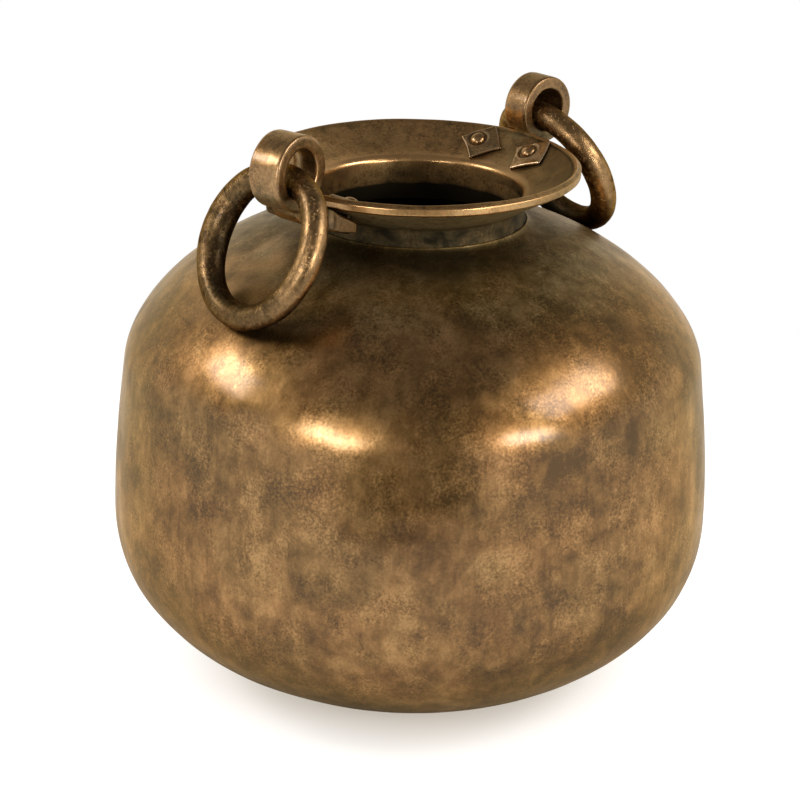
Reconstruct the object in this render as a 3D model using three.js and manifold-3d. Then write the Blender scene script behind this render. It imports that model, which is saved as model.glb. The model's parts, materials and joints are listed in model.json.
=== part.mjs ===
// Beaten metal water pot with a flaring cast rim and two ring handles on riveted lugs.
// Millimetres, +Z up, origin at the middle of the flat under the base, lugs on the X axis.
import * as THREE from 'three';
import { mergeVertices } from 'three/addons/utils/BufferGeometryUtils.js';
import Module from 'manifold-3d';

const wasm = await Module();
wasm.setup();

const degrees = THREE.MathUtils.degToRad;

// Shared
const GAP = 0.3;
const TURN_STEPS = 54;
const CURVE_STEPS = 3;

// Beaten body: base flat, belly, shoulder break and mouth, with the lengths of the curve handles
const WALL = 2.5;
const BASE_RADIUS = 60;
const BASE_HANDLE = 38.6;
const BELLY_RADIUS = 210;
const BELLY_HEIGHT = 119;
const BELLY_HANDLE_DOWN = 89;
const BELLY_HANDLE_UP = 48;
const BREAK_RADIUS = 201;
const BREAK_HEIGHT = 231;
const BREAK_LEAN = degrees(6.6);
const BREAK_HANDLE = 38.5;
const MOUTH_HEIGHT = 327;
const MOUTH_SLOPE = degrees(11);
const MOUTH_HANDLE = 60;
const LIP_RISE = 2.2;
const LIP_FILLET = 4.5;
const LIP_ROUND = 0.6;
const LOWER_STEPS = 8;
const SIDE_STEPS = 4;
const SHOULDER_STEPS = 9;

// Cast rim: neck that passes through the mouth, and the flare above it
const NECK_RADIUS = 73.5;
const NECK_BORE = 71;
const NECK_BOTTOM = 321;
const UNDERSIDE_HEIGHT = 342.5;
const RIM_RADIUS = 111.5;
const RIM_HEIGHT = 370;
const RIM_BAND = 4.2;
const RIM_CHAMFER = 3;
const RIM_CHAMFER_DROP = 2.4;
const FLARE_SLOPE = degrees(30.7);
const UNDERSIDE_SLOPE = degrees(28.8);
const NECK_FILLET = 4;
const THROAT_ROUND = 2;
const EDGE_ROUND = 2;

// Lugs: eye, stem and the straight foot under the flare
const EYE_RADIUS = 23.5;
const EYE_BORE = 15;
const EYE_CHAMFER = 1.2;
const EYE_STEPS = 16;
const STEM_FROM = degrees(-75);
const STEM_TO = degrees(-120);
const STEM_STEP_IN = 1.5;
const FOOT_INNER = 89;
const FOOT_OUTER = 112;
const FOOT_BOTTOM = 342.8;
const FOOT_SLOPE = degrees(14);
const FOOT_ROUND = 3;
const FOOT_HALF_LENGTH = 33;
const FOOT_ALONG = -2;
const FOOT_CHAMFER = 3;
const FOOT_CLEARANCE = 0.5;

// Rivets and the diamond roves under their heads
const RIVET_RADIUS = 94;
const RIVET_AZIMUTH = degrees(14.5);
const SHANK_RADIUS = 3;
const HEAD_RADIUS = 5.6;
const HEAD_HEIGHT = 3;
const TAIL_RADIUS = 4.6;
const TAIL_DEPTH = 15.7;
const TAIL_HEIGHT = 2.2;
const SPOT_FACE_RADIUS = 5.6;
const RIVET_STEPS = 16;
const ROVE_SIDE = 24.5;
const ROVE_TURN = degrees(38);
const ROVE_DOWN = -2;
const ROVE_ALONG = -4.5;
const ROVE_THICKNESS = 2.2;
const ROVE_STEPS = 6;

// Ring handles
const BAR_RADIUS = 8.77;
const RING_STEPS = 32;
const BAR_STEPS = 12;
const LEAST_DROP = degrees(45);
const MOST_DROP = degrees(85);
const HALVINGS = 24;
const FINE_STEPS = 400;

// The sides are hand-made and differ a little: the eye, and the ring's bar where it hangs in it
const LEFT = {
  name: 'left',
  eyeCentre: 124.4,
  eyeHeight: 386.2,
  eyeWidth: 24,
  eyeAlong: 0,
  eyeYaw: 0,
  ringRadius: 48.5,
  pivot: new THREE.Vector3(123.2, 0, 383.8),
  twist: degrees(-8.5),
};
const RIGHT = {
  name: 'right',
  eyeCentre: 126.6,
  eyeHeight: 384.6,
  eyeWidth: 18,
  eyeAlong: -2,
  eyeYaw: degrees(-5.5),
  ringRadius: 47,
  pivot: new THREE.Vector3(124.4, -1.5, 381.8),
  twist: degrees(-11),
};

// Finishes
const BODY_BRONZE = { color: 0x7b5a34, roughness: 0.42, metalness: 0.9 };
const RIM_BRONZE = { color: 0x876640, roughness: 0.4, metalness: 0.9 };
const LUG_BRONZE = { color: 0x80603b, roughness: 0.4, metalness: 0.9 };
const RING_BRONZE = { color: 0x8c693f, roughness: 0.34, metalness: 0.92 };
const ROVE_BRONZE = { color: 0x6f5636, roughness: 0.45, metalness: 0.88 };
const RIVET_BRONZE = { color: 0x9c7849, roughness: 0.32, metalness: 0.92 };

// Solid with shared corners, ready to be joined and cut
function solid(geometry) {
  const bare = geometry.clone();
  bare.deleteAttribute('normal');
  bare.deleteAttribute('uv');
  const merged = mergeVertices(bare);
  const vertProperties = new Float32Array(merged.attributes.position.array);
  const triVerts = new Uint32Array(merged.index.array);
  return new wasm.Manifold(new wasm.Mesh({ numProp: 3, vertProperties, triVerts }));
}

function geometryOf(manifold) {
  const { vertProperties, triVerts } = manifold.getMesh();
  const geometry = new THREE.BufferGeometry();
  geometry.setAttribute('position', new THREE.BufferAttribute(vertProperties, 3));
  geometry.setIndex(new THREE.BufferAttribute(triVerts, 1));
  geometry.computeVertexNormals();
  return geometry;
}

function piece(name, geometry, finish) {
  const mesh = new THREE.Mesh(geometry, new THREE.MeshStandardMaterial(finish));
  mesh.name = name;
  return mesh;
}

// Outline of (radius, height) points turned about the Z axis
function turned(outline, steps) {
  return new THREE.LatheGeometry(outline, steps).rotateX(Math.PI / 2);
}

// Outline in the XZ plane given a width along Y, with chamfered edges
function thickened(shape, width, chamfer, curveSegments) {
  const geometry = new THREE.ExtrudeGeometry(shape, {
    depth: width - 2 * chamfer,
    bevelThickness: chamfer,
    bevelSize: chamfer,
    bevelOffset: -chamfer,
    bevelSegments: 1,
    curveSegments,
  });
  return geometry.translate(0, 0, chamfer - width / 2).rotateX(Math.PI / 2);
}

// Points moved to the right of their direction of travel, with mitred corners
function offset(points, distance, closed) {
  const count = points.length;
  const rightOf = (from, to) => {
    const along = to.clone().sub(from).normalize();
    return new THREE.Vector2(along.y, -along.x);
  };
  return points.map((point, i) => {
    const before = closed ? points[(i + count - 1) % count] : points[Math.max(i - 1, 0)];
    const after = closed ? points[(i + 1) % count] : points[Math.min(i + 1, count - 1)];
    const first = before === point ? rightOf(point, after) : rightOf(before, point);
    const second = after === point ? first : rightOf(point, after);
    const mitre = first.clone().add(second);
    return point.clone().addScaledVector(mitre, (2 * distance) / mitre.lengthSq());
  });
}

function closedOutline(points) {
  return [...points, points[0].clone()];
}

// Outer face of the beaten body, from the base flat up to the foot of the mouth's lip
function bodyFace(lowerSteps, sideSteps, shoulderSteps) {
  const point = (x, y) => new THREE.Vector2(x, y);
  const base = point(BASE_RADIUS, 0);
  const belly = point(BELLY_RADIUS, BELLY_HEIGHT);
  const bend = point(BREAK_RADIUS, BREAK_HEIGHT);
  const lean = point(-Math.sin(BREAK_LEAN), Math.cos(BREAK_LEAN)).multiplyScalar(BREAK_HANDLE);
  const mouth = point(NECK_RADIUS + GAP + WALL + LIP_FILLET, MOUTH_HEIGHT);
  const slope = point(Math.cos(MOUTH_SLOPE), -Math.sin(MOUTH_SLOPE)).multiplyScalar(MOUTH_HANDLE);
  const lower = new THREE.CubicBezierCurve(
    base,
    point(BASE_RADIUS + BASE_HANDLE, 0),
    point(BELLY_RADIUS, BELLY_HEIGHT - BELLY_HANDLE_DOWN),
    belly,
  );
  const side = new THREE.CubicBezierCurve(
    belly,
    point(BELLY_RADIUS, BELLY_HEIGHT + BELLY_HANDLE_UP),
    bend.clone().sub(lean),
    bend,
  );
  const shoulder = new THREE.CubicBezierCurve(
    bend,
    bend.clone().add(lean),
    mouth.clone().add(slope),
    mouth,
  );
  return [
    ...lower.getPoints(lowerSteps),
    ...side.getPoints(sideSteps).slice(1),
    ...shoulder.getPoints(shoulderSteps).slice(1),
  ];
}

// Beaten body: one even wall with a short lip turned up round the neck
function vesselBody() {
  const outer = bodyFace(LOWER_STEPS, SIDE_STEPS, SHOULDER_STEPS);
  const inner = offset(outer, -WALL, false).reverse();
  const holeRadius = NECK_RADIUS + GAP;
  const lipRadius = holeRadius + WALL;
  const lipTop = MOUTH_HEIGHT + LIP_RISE;
  const lip = new THREE.Path()
    .moveTo(lipRadius + LIP_FILLET, MOUTH_HEIGHT)
    .quadraticCurveTo(lipRadius, MOUTH_HEIGHT + LIP_ROUND, lipRadius, lipTop - LIP_ROUND)
    .lineTo(lipRadius - LIP_ROUND, lipTop)
    .lineTo(holeRadius, lipTop)
    .lineTo(holeRadius, inner[0].y);
  return turned(
    [
      new THREE.Vector2(0, 0),
      ...outer,
      ...lip.getPoints(CURVE_STEPS).slice(1),
      ...inner,
      new THREE.Vector2(0, WALL),
    ],
    TURN_STEPS,
  );
}

function flareHeight(radius) {
  return RIM_HEIGHT - (RIM_RADIUS - RIM_CHAMFER - radius) * Math.tan(FLARE_SLOPE);
}

function undersideHeight(radius) {
  return UNDERSIDE_HEIGHT + (radius - NECK_RADIUS) * Math.tan(UNDERSIDE_SLOPE);
}

// Section of the cast rim: neck, flare with a flat band round its edge, crisp throat
function rimOutline() {
  const filletRadius = NECK_RADIUS + NECK_FILLET;
  const edgeRadius = RIM_RADIUS - EDGE_ROUND;
  const bandTop = RIM_HEIGHT - RIM_CHAMFER_DROP;
  const throatRadius = NECK_BORE + THROAT_ROUND;
  const section = new THREE.Path()
    .moveTo(NECK_BORE, NECK_BOTTOM)
    .lineTo(NECK_RADIUS, NECK_BOTTOM)
    .lineTo(NECK_RADIUS, UNDERSIDE_HEIGHT - NECK_FILLET)
    .quadraticCurveTo(NECK_RADIUS, UNDERSIDE_HEIGHT, filletRadius, undersideHeight(filletRadius))
    .lineTo(edgeRadius, undersideHeight(edgeRadius))
    .quadraticCurveTo(RIM_RADIUS, undersideHeight(RIM_RADIUS), RIM_RADIUS, bandTop - RIM_BAND)
    .lineTo(RIM_RADIUS, bandTop)
    .lineTo(RIM_RADIUS - RIM_CHAMFER, RIM_HEIGHT)
    .lineTo(throatRadius, flareHeight(throatRadius))
    .quadraticCurveTo(
      NECK_BORE,
      flareHeight(NECK_BORE),
      NECK_BORE,
      flareHeight(NECK_BORE) - THROAT_ROUND,
    );
  return section.getPoints(CURVE_STEPS);
}

// Frame on the flare at a rivet: Z is square to the flare, X runs up its slope
function rivetFrame(azimuth) {
  return new THREE.Matrix4()
    .makeRotationZ(azimuth)
    .multiply(new THREE.Matrix4().makeTranslation(RIVET_RADIUS, 0, flareHeight(RIVET_RADIUS)))
    .multiply(new THREE.Matrix4().makeRotationY(-FLARE_SLOPE));
}

// Round cutter along a rivet's axis, between two depths below the flare
function rivetCutter(azimuth, radius, from, to) {
  const cutter = new THREE.CylinderGeometry(radius, radius, to - from, RIVET_STEPS);
  cutter.rotateX(Math.PI / 2).translate(0, 0, -(from + to) / 2);
  return solid(cutter.applyMatrix4(rivetFrame(azimuth)));
}

function rimFlange() {
  let rim = solid(turned(closedOutline(rimOutline()), TURN_STEPS));
  for (const side of [0, Math.PI]) {
    for (const azimuth of [side - RIVET_AZIMUTH, side + RIVET_AZIMUTH]) {
      rim = rim.subtract(rivetCutter(azimuth, SHANK_RADIUS + GAP, -HEAD_HEIGHT, TAIL_DEPTH));
    }
  }
  return geometryOf(rim);
}

// Eye of a lug: a short heavy tube lying along the rim
function lugEye(side) {
  const eye = new THREE.Shape().absarc(0, side.eyeHeight, EYE_RADIUS, 0, 2 * Math.PI, false);
  eye.holes.push(new THREE.Path().absarc(0, side.eyeHeight, EYE_BORE, 0, 2 * Math.PI, true));
  return thickened(eye, side.eyeWidth, EYE_CHAMFER, EYE_STEPS)
    .rotateZ(side.eyeYaw)
    .translate(side.eyeCentre, side.eyeAlong, 0);
}

function footBottom(radius) {
  return FOOT_BOTTOM + (radius - FOOT_INNER) * Math.tan(FOOT_SLOPE);
}

// Stem that carries the eye: it runs from the foot, outside the rim's edge, into the eye's wall
function lugStem(side) {
  const wallMiddle = (EYE_RADIUS + EYE_BORE) / 2;
  const wallArc = new THREE.EllipseCurve(
    side.eyeCentre,
    side.eyeHeight,
    wallMiddle,
    wallMiddle,
    STEM_FROM,
    STEM_TO,
    true,
  );
  const front = wallArc.getPoint(0);
  const footEdge = footBottom(FOOT_OUTER) + FOOT_ROUND / 2;
  const stem = new THREE.Shape()
    .moveTo(FOOT_OUTER - 2 * FOOT_ROUND, footEdge + FOOT_ROUND)
    .lineTo(FOOT_OUTER, footEdge)
    .quadraticCurveTo(front.x - FOOT_ROUND, footEdge + FOOT_ROUND, front.x, front.y)
    .absarc(side.eyeCentre, side.eyeHeight, wallMiddle, STEM_FROM, STEM_TO, true);
  const width = side.eyeWidth - 2 * STEM_STEP_IN;
  return thickened(stem, width, EYE_CHAMFER, CURVE_STEPS).translate(0, side.eyeAlong, 0);
}

// Foot: a straight bar with a sloping top that lies along the underside of the flare
function lugFoot() {
  const top = (radius) => undersideHeight(radius) - FOOT_CLEARANCE;
  const bar = new THREE.Shape()
    .moveTo(FOOT_INNER, FOOT_BOTTOM)
    .lineTo(FOOT_OUTER - FOOT_ROUND, footBottom(FOOT_OUTER - FOOT_ROUND))
    .quadraticCurveTo(
      FOOT_OUTER,
      footBottom(FOOT_OUTER),
      FOOT_OUTER,
      footBottom(FOOT_OUTER) + FOOT_ROUND,
    )
    .lineTo(FOOT_OUTER, top(FOOT_OUTER))
    .lineTo(FOOT_INNER, top(FOOT_INNER));
  const length = 2 * FOOT_HALF_LENGTH;
  return thickened(bar, length, FOOT_CHAMFER, CURVE_STEPS).translate(0, FOOT_ALONG, 0);
}

// Lug casting, notched for the rim's edge, drilled and spot-faced for its two rivets
function lug(side) {
  const rimNotch = solid(turned(closedOutline(offset(rimOutline(), GAP, true)), TURN_STEPS));
  let casting = solid(lugEye(side)).add(solid(lugStem(side))).add(solid(lugFoot()));
  casting = casting.subtract(rimNotch);
  for (const azimuth of [-RIVET_AZIMUTH, RIVET_AZIMUTH]) {
    casting = casting
      .subtract(rivetCutter(azimuth, SHANK_RADIUS + GAP, 0, TAIL_DEPTH + GAP))
      .subtract(rivetCutter(azimuth, SPOT_FACE_RADIUS, TAIL_DEPTH, 2 * TAIL_DEPTH));
  }
  return geometryOf(casting);
}

// Rove: a square plate set corner-up on the flare, bent to the funnel and pierced for its rivet
function rove() {
  const plate = new THREE.BoxGeometry(
    ROVE_SIDE,
    ROVE_SIDE,
    ROVE_THICKNESS,
    ROVE_STEPS,
    ROVE_STEPS,
    1,
  );
  plate.rotateZ(ROVE_TURN).translate(ROVE_DOWN, ROVE_ALONG, GAP + ROVE_THICKNESS / 2);
  const corners = plate.attributes.position;
  for (let i = 0; i < corners.count; i++) {
    const upSlope = corners.getX(i);
    const turn = corners.getY(i) / RIVET_RADIUS;
    const above = corners.getZ(i);
    const radius = RIVET_RADIUS + upSlope * Math.cos(FLARE_SLOPE) - above * Math.sin(FLARE_SLOPE);
    const height = upSlope * Math.sin(FLARE_SLOPE) + above * Math.cos(FLARE_SLOPE);
    const outward = radius * Math.cos(turn) - RIVET_RADIUS;
    corners.setXYZ(
      i,
      outward * Math.cos(FLARE_SLOPE) + height * Math.sin(FLARE_SLOPE),
      radius * Math.sin(turn),
      height * Math.cos(FLARE_SLOPE) - outward * Math.sin(FLARE_SLOPE),
    );
  }
  const holeRadius = SHANK_RADIUS + GAP;
  const hole = new THREE.CylinderGeometry(holeRadius, holeRadius, 4 * ROVE_THICKNESS, RIVET_STEPS);
  return geometryOf(solid(plate).subtract(solid(hole.rotateX(Math.PI / 2))));
}

// Rivet: flat tail under the foot, shank, and a dome beaten down over the rove
function rivet() {
  const headSeat = ROVE_THICKNESS + 2 * GAP;
  const tailSeat = -TAIL_DEPTH - GAP;
  const headTop = headSeat + HEAD_HEIGHT;
  const profile = new THREE.Path()
    .moveTo(0, tailSeat - TAIL_HEIGHT)
    .lineTo(TAIL_RADIUS - TAIL_HEIGHT / 2, tailSeat - TAIL_HEIGHT)
    .lineTo(TAIL_RADIUS, tailSeat - TAIL_HEIGHT / 2)
    .lineTo(TAIL_RADIUS, tailSeat)
    .lineTo(SHANK_RADIUS, tailSeat)
    .lineTo(SHANK_RADIUS, headSeat)
    .lineTo(HEAD_RADIUS, headSeat)
    .bezierCurveTo(HEAD_RADIUS, headTop - HEAD_HEIGHT / 3, HEAD_RADIUS / 2, headTop, 0, headTop);
  return turned(profile.getPoints(CURVE_STEPS), RIVET_STEPS);
}

// Centre line of a side's ring at an angle round it, with the ring hanging at a drop below level
function ringPoint(side, drop, angle) {
  const outward = side.ringRadius * (1 - Math.cos(angle));
  return new THREE.Vector3(outward, side.ringRadius * Math.sin(angle), 0)
    .applyAxisAngle(new THREE.Vector3(0, 1, 0), drop)
    .applyAxisAngle(new THREE.Vector3(0, 0, 1), side.twist)
    .add(side.pivot);
}

// Clear distance between the hanging ring and the body's shoulder
function shoulderClearance(side, drop, shoulder) {
  let least = Infinity;
  for (let i = 0; i < RING_STEPS; i++) {
    const point = ringPoint(side, drop, (i / RING_STEPS) * 2 * Math.PI);
    const section = new THREE.Vector2(Math.hypot(point.x, point.y), point.z);
    for (const onShoulder of shoulder) {
      least = Math.min(least, section.distanceTo(onShoulder));
    }
  }
  return least - BAR_RADIUS;
}

// Drop at which the ring comes to lie on the shoulder, found by halving the interval
function restingDrop(side) {
  const shoulder = bodyFace(1, 1, FINE_STEPS);
  let free = LEAST_DROP;
  let touching = MOST_DROP;
  for (let i = 0; i < HALVINGS; i++) {
    const middle = (free + touching) / 2;
    if (shoulderClearance(side, middle, shoulder) > GAP) {
      free = middle;
    } else {
      touching = middle;
    }
  }
  return free;
}

function ring({ ringRadius }) {
  const torus = new THREE.TorusGeometry(ringRadius, BAR_RADIUS, BAR_STEPS, RING_STEPS);
  return torus.translate(ringRadius, 0, 0);
}

// One side of the pot: lug, roves, rivets and the ring hanging in the eye
function handleSide(side) {
  const group = new THREE.Group();
  group.add(piece(`${side.name}_lug`, lug(side), LUG_BRONZE));
  [-RIVET_AZIMUTH, RIVET_AZIMUTH].forEach((azimuth, i) => {
    const fixing = new THREE.Group();
    fixing.applyMatrix4(rivetFrame(azimuth));
    fixing.add(piece(`${side.name}_rove_${i + 1}`, rove(), ROVE_BRONZE));
    fixing.add(piece(`${side.name}_rivet_${i + 1}`, rivet(), RIVET_BRONZE));
    group.add(fixing);
  });
  const hanger = new THREE.Group();
  hanger.position.copy(side.pivot);
  hanger.rotation.z = side.twist;
  const handle = piece(`${side.name}_ring`, ring(side), RING_BRONZE);
  handle.rotation.y = restingDrop(side);
  hanger.add(handle);
  group.add(hanger);
  return group;
}

const pot = new THREE.Group();
pot.add(piece('vessel_body', vesselBody(), BODY_BRONZE));
pot.add(piece('rim_flange', rimFlange(), RIM_BRONZE));
pot.add(handleSide(RIGHT));
const leftSide = handleSide(LEFT);
leftSide.rotation.z = Math.PI;
pot.add(leftSide);

export default pot;
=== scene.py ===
# Looks of the beaten water pot: fine surfaces, bronze materials, lights and camera.
import json
import math

import bmesh
import bpy
import numpy as np
from mathutils import Matrix, Vector, noise


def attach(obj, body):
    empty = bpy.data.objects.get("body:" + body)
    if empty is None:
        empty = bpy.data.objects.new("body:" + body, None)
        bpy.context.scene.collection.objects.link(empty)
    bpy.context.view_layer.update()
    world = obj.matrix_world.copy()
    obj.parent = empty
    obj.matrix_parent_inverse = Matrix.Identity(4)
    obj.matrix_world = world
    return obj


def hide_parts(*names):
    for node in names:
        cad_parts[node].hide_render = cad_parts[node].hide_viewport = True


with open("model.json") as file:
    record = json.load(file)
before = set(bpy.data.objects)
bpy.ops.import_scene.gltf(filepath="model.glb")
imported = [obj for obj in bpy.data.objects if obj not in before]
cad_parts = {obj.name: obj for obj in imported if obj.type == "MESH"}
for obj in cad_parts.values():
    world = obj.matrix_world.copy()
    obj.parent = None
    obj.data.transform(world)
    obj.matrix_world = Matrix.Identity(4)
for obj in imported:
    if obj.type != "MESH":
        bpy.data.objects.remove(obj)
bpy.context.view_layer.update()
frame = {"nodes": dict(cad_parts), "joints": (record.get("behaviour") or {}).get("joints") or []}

MM = 0.001

# Dimensions in millimetres, the same as in the part's source
WALL = 2.5
BASE_RADIUS = 60
BELLY_RADIUS = 210
BELLY_HEIGHT = 119
NECK_RADIUS = 73.5
NECK_BORE = 71
NECK_BOTTOM = 321
MOUTH_RADIUS = 80.8
MOUTH_HEIGHT = 327
UNDERSIDE_HEIGHT = 342.5
UNDERSIDE_SLOPE = math.radians(28.8)
RIM_RADIUS = 111.5
RIM_HEIGHT = 370
RIM_CHAMFER = 3
RIM_CHAMFER_DROP = 2.4
FLARE_SLOPE = math.radians(30.7)
FOOT_INNER = 89
FOOT_OUTER = 112
FOOT_BOTTOM = 342.8
FOOT_SLOPE = math.radians(14)
RIVET_RADIUS = 94
RIVET_AZIMUTH = math.radians(14.5)
ROVE_SIDE = 24.5
ROVE_TURN = math.radians(38)
ROVE_DOWN = -2
ROVE_ALONG = -4.5
ROVE_THICKNESS = 2.2
BAR_RADIUS = 8.77

# Radius where the shoulder starts to sweep up to the neck
SHOULDER_END = 89

# Rounds on a lug's eye and foot, and the gap between the foot and the flare
EYE_EDGE = 1.6
FOOT_GAP = 0.4
FOOT_ROUND = 3

# Points round each turned form, and along the side of a rove
BODY_STEPS = 300
RIM_STEPS = 320
EYE_STEPS = 96
RIVET_STEPS = 40
ROVE_STEPS = 40
RING_STEPS = 200
RING_SIDES = 36

# The lugs and rings are hand-made, and each side has its own sizes, wear and stains
SIDES = {
    "right": {
        "turn": 0,
        "centre": 126.6,
        "height": 384.6,
        "radius": 23.5,
        "bore": 15,
        "width": 21,
        "along": -0.5,
        "yaw": -5.5,
        "taper": 1.0,
        "stain": 0.3,
        "worn": 0.0,
        "sag": 1.0,
        "swell": (60, 0.8, 1.1),
    },
    "left": {
        "turn": 180,
        "centre": 124.8,
        "height": 386.3,
        "radius": 25.0,
        "bore": 15.6,
        "width": 24,
        "along": 0,
        "yaw": 6.5,
        "taper": 0.0,
        "stain": 0.0,
        "worn": 3.8,
        "sag": 2.2,
        "swell": (45, 1.5, 0.2),
    },
}

# Dents where the pot was knocked: azimuth in degrees, height, width across and depth
DENTS = (
    (-170, 232, 34, 0.8),
    (-129, 281, 30, 0.5),
    (-110, 132, 60, 0.6),
    (-153, 107, 50, 0.5),
    (-20, 235, 38, 0.7),
    (60, 180, 45, 0.8),
    (115, 250, 30, 0.6),
)
CREASE_AZIMUTH = 178.3

# Places on the right of the shoulder, seen from above; a half turn gives those on the left
RUB_AND_SHEEN_PLACE = (124, -40)
RUB_AND_SHEEN_RADIUS = 42
# Line of painted shadow that each ring casts on the shoulder
RING_SHADOW_FROM = (165, 11)
RING_SHADOW_TO = (130, 53)
RING_SHADOW_WIDTH = 9


# Noise at many points, in millimetres, with features about one size across
def wander(points, size, seed=0.0):
    shift = Vector((seed * 17.3, seed * 5.1, seed * 29.7))
    return np.array([noise.noise(Vector(p) / size + shift) for p in points])


# Shallow dishes left by hammer blows about one size across, from 0 in a dish to 1 on a ridge
def dishes(points, size, seed=0.0):
    shift = Vector((seed * 11.9, seed * 3.7, seed * 23.1))
    return np.array([noise.voronoi(Vector(p) / size + shift)[0][0] for p in points])


# Each point moved a little to the side by noise, with a seed for each axis
def jitter(points, size, amount, seeds):
    return points + amount * np.column_stack([wander(points, size, seed) for seed in seeds])


def smooth(value, low, high):
    t = np.clip((np.asarray(value, float) - low) / (high - low), 0, 1)
    return t * t * (3 - 2 * t)


# 1 at a value, falling to 0 about one width away
def near(value, middle, width):
    return np.exp(-(((np.asarray(value, float) - middle) / width) ** 2))


# Distance of points from the Z axis
def reach(points):
    return np.hypot(points[:, 0], points[:, 1])


# Angles measured from a direction in degrees, up to half a turn either way
def turned_from(azimuth, degrees):
    return np.remainder(azimuth - math.radians(degrees) + math.pi, 2 * math.pi) - math.pi


def unit(vector):
    return vector / np.linalg.norm(vector, axis=-1, keepdims=True)


def bezier(a, b, c, d, steps):
    t = np.linspace(0, 1, steps + 1)[:, None]
    a, b, c, d = (np.asarray(p, float) for p in (a, b, c, d))
    return (1 - t) ** 3 * a + 3 * (1 - t) ** 2 * t * b + 3 * (1 - t) * t * t * c + t**3 * d


def line(a, b, steps):
    t = np.linspace(0, 1, steps + 1)[:, None]
    return np.asarray(a, float) * (1 - t) + np.asarray(b, float) * t


# Several runs of points joined into one, leaving out repeated ends
def joined(*runs):
    points = [runs[0]]
    for run in runs[1:]:
        points.append(run[1:] if np.allclose(run[0], points[-1][-1]) else run)
    return np.vstack(points)


# Corner of an outline replaced by a round that starts a given length before it
def rounded(before, corner, after, size, steps=6):
    corner = np.asarray(corner, float)
    start = corner + size * unit(np.asarray(before, float) - corner)
    end = corner + size * unit(np.asarray(after, float) - corner)
    return bezier(start, (start + 2 * corner) / 3, (end + 2 * corner) / 3, end, steps)


# Part of a line that starts and ends a given length from its ends
def between(a, b, size, steps):
    a, b = np.asarray(a, float), np.asarray(b, float)
    return line(a + size * unit(b - a), b - size * unit(b - a), steps)


# Directions square to a run of (radius, height) points, to the right of travel
def right_of(points, closed=False):
    if closed:
        along = np.roll(points, -1, axis=0) - np.roll(points, 1, axis=0)
    else:
        along = np.gradient(points, axis=0)
    along /= np.linalg.norm(along, axis=1)[:, None] + 1e-9
    return np.column_stack((along[:, 1], -along[:, 0]))


def moved(points, matrix):
    spin = np.array(matrix.to_3x3())
    return np.asarray(points) @ spin.T + np.array(matrix.translation)


# Quads between rows of points, each row a ring; rows close on the first one if asked
def ring_faces(rows, count, closed_rows):
    faces = []
    for i in range(rows if closed_rows else rows - 1):
        a, b = i * count, (i + 1) % rows * count
        for j in range(count):
            k = (j + 1) % count
            faces.append((a + j, a + k, b + k, b + j))
    return faces


# Rows of (radius, height) turned about Z; bump gives each point's height above the turned form
def turn(outline, count, bump=None, closed=False):
    angles = np.linspace(0, 2 * math.pi, count, endpoint=False)
    spin = np.column_stack((np.cos(angles), np.sin(angles)))

    def swept(rows):
        return np.concatenate([np.column_stack((r * spin, np.full(count, z))) for r, z in rows])

    points = swept(outline)
    if bump is not None:
        points = points + swept(right_of(outline, closed)) * bump(points)[:, None]
    return points, ring_faces(len(outline), count, closed)


# Closed outlines in the XZ plane joined along Y, each given with its place on Y
def carried(sections):
    rows = [np.insert(outline, 1, y, axis=1) for y, outline in sections]
    count = len(rows[0])
    faces = ring_faces(len(rows), count, False)
    faces.append(tuple(range(count)))
    faces.append(tuple(range((len(rows) - 1) * count, len(rows) * count))[::-1])
    return np.vstack(rows), faces


def add_object(name, data):
    item = bpy.data.objects.new(name, data)
    bpy.context.scene.collection.objects.link(item)
    return item


# Smooth mesh in millimetres, with marks for its material at each point
def make_object(name, points, faces, material, marks):
    mesh = bpy.data.meshes.new(name)
    mesh.from_pydata((np.asarray(points) * MM).tolist(), [], faces)
    mesh.validate()
    mesh.polygons.foreach_set("use_smooth", [True] * len(mesh.polygons))
    for label, values in marks.items():
        attribute = mesh.attributes.new(label, "FLOAT", "POINT")
        attribute.data.foreach_set("value", np.asarray(values, np.float32))
    mesh.materials.append(material)
    weld = bmesh.new()
    weld.from_mesh(mesh)
    bmesh.ops.remove_doubles(weld, verts=weld.verts, dist=1e-7)
    weld.to_mesh(mesh)
    weld.free()
    return add_object(name, mesh)


# Shapes fused into one soft-edged casting
def fused(name, shapes, voxel, passes):
    points, faces, base = [], [], 0
    for shape_points, shape_faces in shapes:
        points.append(shape_points)
        faces += [tuple(base + i for i in face) for face in shape_faces]
        base += len(shape_points)
    mesh = bpy.data.meshes.new(name)
    mesh.from_pydata((np.vstack(points) * MM).tolist(), [], faces)
    rough = add_object(name, mesh)
    remesh = rough.modifiers.new("fuse", "REMESH")
    remesh.mode = "VOXEL"
    remesh.voxel_size = voxel * MM
    soften = rough.modifiers.new("soften", "SMOOTH")
    soften.factor = 0.5
    soften.iterations = passes
    shown = rough.evaluated_get(bpy.context.evaluated_depsgraph_get())
    done = bpy.data.meshes.new_from_object(shown)
    cast_points = np.zeros(len(done.vertices) * 3)
    done.vertices.foreach_get("co", cast_points)
    cast_faces = [tuple(polygon.vertices) for polygon in done.polygons]
    bpy.data.objects.remove(rough)
    return cast_points.reshape(-1, 3) / MM, cast_faces


def ride(item, body, slot, *nodes):
    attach(item, body)
    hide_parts(*nodes)
    return item


# Shader nodes
def make(tree, kind, inputs=None, **settings):
    node = tree.nodes.new(kind)
    for key, value in settings.items():
        setattr(node, key, value)
    for key, value in (inputs or {}).items():
        if isinstance(value, bpy.types.NodeSocket):
            tree.links.new(value, node.inputs[key])
        else:
            node.inputs[key].default_value = value
    return node


def new_material(name):
    material = bpy.data.materials.new(name)
    material.use_nodes = True
    material.node_tree.nodes.clear()
    return material, material.node_tree


def calc(tree, operation, a, b=0.0, clamp=False):
    values = {0: a, 1: b}
    return make(tree, "ShaderNodeMath", values, operation=operation, use_clamp=clamp).outputs[0]


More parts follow.
